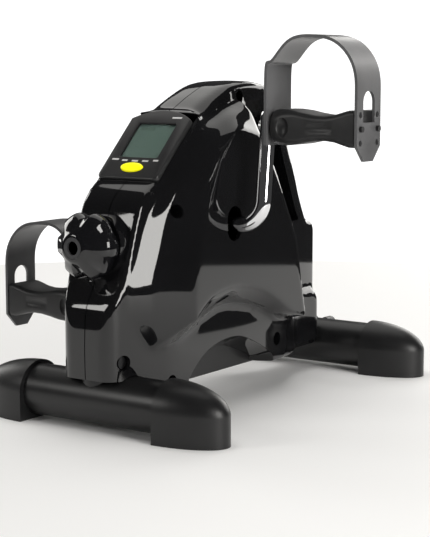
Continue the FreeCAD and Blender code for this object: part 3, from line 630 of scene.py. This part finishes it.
knob = {
    "lobes": 6, "steps": 240, "fluteHalf": 17,
    # back from the rear face, radius, depth of the flutes
    "profile": ((0, 19.4, 0.63), (0.5, 20.4, 1.12), (1.3, 21.4, 1.61), (3, 22.1, 2.1), (6, 22.45, 2.45),
                (8.5, 22.4, 2.66), (10.5, 21.8, 2.8), (12.2, 20.7, 2.87), (13.8, 19.2, 2.8),
                (15.4, 17.3, 2.45), (16.9, 15.2, 1.82), (18.2, 13.3, 1.05), (19.2, 11.8, 0.35),
                (20, 10.8, 0), (20.9, 9.8, 0), (21.5, 9.1, 0), (21.9, 8.4, 0), (22, 7.2, 0), (20, 7.1, 0),
                (20, 4.6, 0), (13, 4.5, 0)),
}


def fluteShape(turn):
    # 1 in the middle of a flute, round in section, and 0 over the width of a lobe
    pitch = 2 * math.pi / knob["lobes"]
    off = abs((turn + pitch / 2) % pitch - pitch / 2) / math.radians(knob["fluteHalf"])
    return max(0.0, 1 - off * off)


def addKnob():
    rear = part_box("tension_knob")[1][1]
    rings = []
    for back, radius, flute in knob["profile"]:
        ring = []
        for k in range(knob["steps"]):
            turn = 2 * math.pi * k / knob["steps"]
            reach = (radius - flute * fluteShape(turn)) * mm
            ring.append((knobAxis.x + math.sin(turn) * reach, rear - back * mm,
                         knobAxis.z + math.cos(turn) * reach))
        rings.append(ring)
    made = newObject("resistance_knob", skin(bmesh.new(), rings), "knob", ["tension_knob"],
                     smooth=40)
    finishWith(made, glossKnob)


addKnob()
print("knob made")


def roundedCorner(cx, cy, radius, start, steps=6):
    return [(cx + radius * math.cos(math.radians(start + 90 * k / steps)),
             cy + radius * math.sin(math.radians(start + 90 * k / steps))) for k in range(steps + 1)]


def archOutline(inset=0.0, corner=None):
    # round the console face, anticlockwise from its lower left corner
    half = console["wide"] / 2 - inset
    low, top = -console["long"] / 2 + inset, console["long"] / 2 - inset
    radius, corner = console["archRadius"] - inset, corner or console["corner"]
    middleY = top - radius
    shoulder = math.degrees(math.asin(half / radius))
    points = roundedCorner(-half + corner, low + corner, corner, 180)
    points += roundedCorner(half - corner, low + corner, corner, 270)
    for k in range(25):
        angle = math.radians(90 - shoulder + 2 * shoulder * k / 24)
        points.append((radius * math.cos(angle), middleY + radius * math.sin(angle)))
    return points


def rectOutline(wide, tall, y, radius, x=0):
    points = []
    for sx, sy, start in ((-1, -1, 180), (1, -1, 270), (1, 1, 0), (-1, 1, 90)):
        points += roundedCorner(x + sx * (wide / 2 - radius), y + sy * (tall / 2 - radius), radius, start, 4)
    return points


def ovalOutline(wide, tall, y, steps=64):
    return [(wide / 2 * math.cos(2 * math.pi * k / steps), y + tall / 2 * math.sin(2 * math.pi * k / steps))
            for k in range(steps)]


def onConsole(rings):
    # rings: (outline, height above the console face)
    place = consolePlace()
    return skin(bmesh.new(), [[place @ Vector((x * mm, y * mm, h * mm)) for x, y in points]
                              for points, h in rings])


def addConsole():
    low, top = console["low"], console["top"]
    face = newObject("console_face", onConsole([
        (archOutline(0.3), low - 3), (archOutline(0.3), low), (archOutline(), low),
        (archOutline(), low + 0.5),
        (archOutline(), top - 1.1), (archOutline(0.2), top - 0.5), (archOutline(0.55), top - 0.15),
        (archOutline(1.1), top)]), None)
    size, up = console["screen"], console["lensUp"]
    window = newObject("window", onConsole([(rectOutline(size, size, up, 1.2), -20),
                                            (rectOutline(size, size, up, 1.2), top - 0.5),
                                            (rectOutline(size + 1.2, size + 1.2, up, 1.6), top + 0.1),
                                            (rectOutline(size + 1.2, size + 1.2, up, 1.6), top + 2)]), None)
    boolean(face, window)
    wide, tall, y = console["buttonWide"] + 0.7, console["buttonTall"] + 0.7, console["buttonUp"]
    way = ovalOutline(wide, tall, y)
    boolean(face, newObject("way", onConsole([(way, -20), (way, 20)]), None))
    hollow = newObject("hollow", onConsole([(archOutline(2.2), -20), (archOutline(2.2), 2.5)]), None)
    boolean(face, hollow)
    shadeByAngle(face, 30)
    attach(face, "base")
    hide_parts("console_bezel")
    finishWith(face, consolePlastic)

    button = []
    for h, shrink in ((0.9, 0), (4.7, 0), (5.1, 0.12), (5.35, 0.4), (5.5, 0.9), (5.58, 1.7), (5.6, 2.8)):
        wide, tall = console["buttonWide"] - 2 * shrink, console["buttonTall"] - 2 * shrink
        button.append((ovalOutline(wide, tall, y), h))
    made = newObject("select_button", onConsole(button), "button", ["mode_button"],
                     smooth=50)
    finishWith(made, yellowButtonPaintedGlow)

    # small white marks where the functions are named, drawn as plain dashes
    marks = bmesh.new()
    for x, y, wide in ((-17.5, -15.2, 5.6), (-9.2, -15.9, 4.6), (-0.6, -16.1, 5.2), (8, -15.9, 5),
                       (16.3, -15.2, 4.2), (13.5, 24.2, 8)):
        consoleBlock(marks, wide, 1.4, top - 0.3, top + 0.03, y, x)
    made = newObject("console_marks", marks, "base")
    finishWith(made, printWhite)

    # faint unlit segments at the upper left of the display
    segments = bmesh.new()
    for k in range(4):
        x = -11.5 + 3 * k
        for dx, dy, wide, tall in ((0, 1.3, 1.5, 0.35), (0, 0, 1.5, 0.35), (0, -1.3, 1.5, 0.35),
                                   (-0.85, 0.65, 0.35, 1), (0.85, 0.65, 0.35, 1),
                                   (-0.85, -0.65, 0.35, 1), (0.85, -0.65, 0.35, 1)):
            consoleBlock(segments, wide, tall, 2.38, 2.43, up + 11.8 + dy, x + dx)
    made = newObject("display_segments", segments, "base")
    finishWith(made, displayInk)


addConsole()
print("console made")

pedalBar = {
    # out from the hub end: distance, half depth, half height, corner radius
    "stations": ((0, 11.2, 8.6, 7), (0.6, 12.4, 9.8, 8), (2, 13.8, 11, 8.6), (4.5, 14.7, 11.8, 8.6),
                 (8, 15, 12, 7.5), (13, 15, 11.9, 5.5), (20, 15, 11.1, 4.2), (28, 14.8, 9.5, 3.8),
                 (36, 14.6, 8.4, 3.6), (43, 14.6, 8.2, 3.6), (50, 14.8, 9, 3.6), (57, 15, 11, 3.6),
                 (60.5, 15, 11.9, 3.4), (62.5, 15, 12, 3), (65.4, 15, 12, 3), (66, 14.4, 11.4, 2.8)),
    "steps": 7,
}


def addPedal(side):
    sign = sides[side]
    low, high = (Vector(corner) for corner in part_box(side + "_pedal"))
    heart = (low + high) / 2
    inner = low.x if sign > 0 else high.x
    rings = []
    for out, deep, tall, corner in pedalBar["stations"]:
        points = []
        for sy, sz, start in ((-1, -1, 180), (1, -1, 270), (1, 1, 0), (-1, 1, 90)):
            points += roundedCorner(sy * (deep - corner), sz * (tall - corner), corner, start,
                                    pedalBar["steps"])
        rings.append([(inner + sign * out * mm, heart.y + y * mm, heart.z + z * mm) for y, z in points])
    bar = newObject(side + "_pedal_bar", skin(bmesh.new(), rings), None)
    for face in (-1, 1):
        tools = bmesh.new()
        place = Matrix.Translation((inner + sign * 11.5 * mm, heart.y + face * 17.5 * mm, heart.z))
        bmesh.ops.create_uvsphere(tools, u_segments=40, v_segments=24, radius=1,
                                  matrix=place @ Matrix.Diagonal((5.6 * mm, 4.6 * mm, 7.8 * mm, 1)))
        boolean(bar, newObject("thumb", tools, None))
        tools = bmesh.new()
        place = Matrix.Translation((inner + sign * 39 * mm, heart.y + face * 21 * mm, heart.z))
        bmesh.ops.create_uvsphere(tools, u_segments=64, v_segments=32, radius=1,
                                  matrix=place @ Matrix.Diagonal((21 * mm, 7.2 * mm, 6.4 * mm, 1)))
        boolean(bar, newObject("hollow", tools, None))
    tools = bmesh.new()
    rodAlong(tools, (inner - sign * 2 * mm, heart.y, heart.z), (sign, 0, 0), 4.3 * mm, 62 * mm, 40)
    boolean(bar, newObject("bore", tools, None))
    tools = bmesh.new()
    rodAlong(tools, (inner + sign * 50 * mm, heart.y, heart.z), (sign, 0, 0), 8 * mm, 20 * mm, 48)
    boolean(bar, newObject("pocket", tools, None))
    shadeByAngle(bar, 35)
    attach(bar, side + "_pedal_unit")
    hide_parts(side + "_pedal")
    finishWith(bar, pedalPlastic)


for side in sides:
    addPedal(side)
print("pedals made")

# place is measured from the middle of the wheelbase, in millimetres
camera = {"lens": 100.7, "turn": 34.63, "dip": 7.72, "place": (615.15, -893.89, 238.46)}


def addCamera():
    data = bpy.data.cameras.new("camera")
    data.lens = camera["lens"]
    data.sensor_width = 36
    data.clip_start, data.clip_end = 0.05, 20
    holder = bpy.data.objects.new("camera", data)
    holder.location = at(*camera["place"])
    holder.rotation_euler = Euler((math.radians(90 - camera["dip"]), 0, math.radians(camera["turn"])))
    bpy.context.collection.objects.link(holder)
    bpy.context.scene.camera = holder

studio = {
    "focus": (0, -0.02, 0.12), "backdrop": 1.6, "surround": 0.05, "floorRadius": 0.76,
    # direction round from the front towards +X, direction up, distance, width and height, power
    "softboxes": {
        "side strip": (73, 13, 1.3, (0.46, 0.72), 10), "front card": (-33, 22, 1.3, (0.3, 0.34), 2.2),
        "back card": (177, 16, 1.7, (1.5, 0.9), 14), "roof bank": (-142, 60, 1.7, (1.5, 1.7), 8),
        "overhead": (20, 86, 1.8, (1.4, 1.4), 16), "left fill": (-95, 20, 1.6, (0.5, 0.9), 6),
    },
}


def addSoftbox(name, turn, rise, far, size, power):
    data = bpy.data.lights.new(name, "AREA")
    data.shape = "RECTANGLE"
    data.size, data.size_y = size
    data.energy = power
    data.color = (1, 0.985, 0.955)
    lamp = bpy.data.objects.new(name, data)
    turn, rise = math.radians(turn), math.radians(rise)
    focus = Vector(studio["focus"])
    reach = Vector((math.sin(turn) * math.cos(rise), -math.cos(turn) * math.cos(rise), math.sin(rise)))
    lamp.location = focus + reach * far
    lamp.rotation_euler = reach.to_track_quat("Z", "Y").to_euler()
    lamp.visible_camera = False
    lamp.visible_glossy = name != "overhead"
    bpy.context.collection.objects.link(lamp)


def addStudio():
    bm = bmesh.new()
    bmesh.ops.create_circle(bm, cap_ends=True, segments=96, radius=studio["floorRadius"])
    mesh = bpy.data.meshes.new("floor")
    bm.to_mesh(mesh)
    bm.free()
    floor = bpy.data.objects.new("floor", mesh)
    bpy.context.collection.objects.link(floor)
    pale = bpy.data.materials.new("pale floor")
    pale.use_nodes = True
    shader = pale.node_tree.nodes["Principled BSDF"]
    shader.inputs["Base Color"].default_value = (0.93, 0.93, 0.93, 1)
    shader.inputs["Roughness"].default_value = 0.7
    finishWith(floor, pale)
    world = bpy.data.worlds.new("studio")
    world.use_nodes = True
    tree = world.node_tree
    dim = tree.nodes["Background"]
    dim.inputs["Color"].default_value = (1, 1, 1, 1)
    dim.inputs["Strength"].default_value = studio["surround"]
    white = tree.nodes.new("ShaderNodeBackground")
    white.inputs["Strength"].default_value = studio["backdrop"]
    rays, mix = tree.nodes.new("ShaderNodeLightPath"), tree.nodes.new("ShaderNodeMixShader")
    tree.links.new(rays.outputs["Is Camera Ray"], mix.inputs["Fac"])
    tree.links.new(dim.outputs[0], mix.inputs[1])
    tree.links.new(white.outputs[0], mix.inputs[2])
    tree.links.new(mix.outputs[0], tree.nodes["World Output"].inputs["Surface"])
    bpy.context.scene.world = world
    bpy.context.scene.view_settings.view_transform = "Standard"
    for name, values in studio["softboxes"].items():
        addSoftbox(name, *values)


addCamera()
addStudio()
print("camera and studio ready")
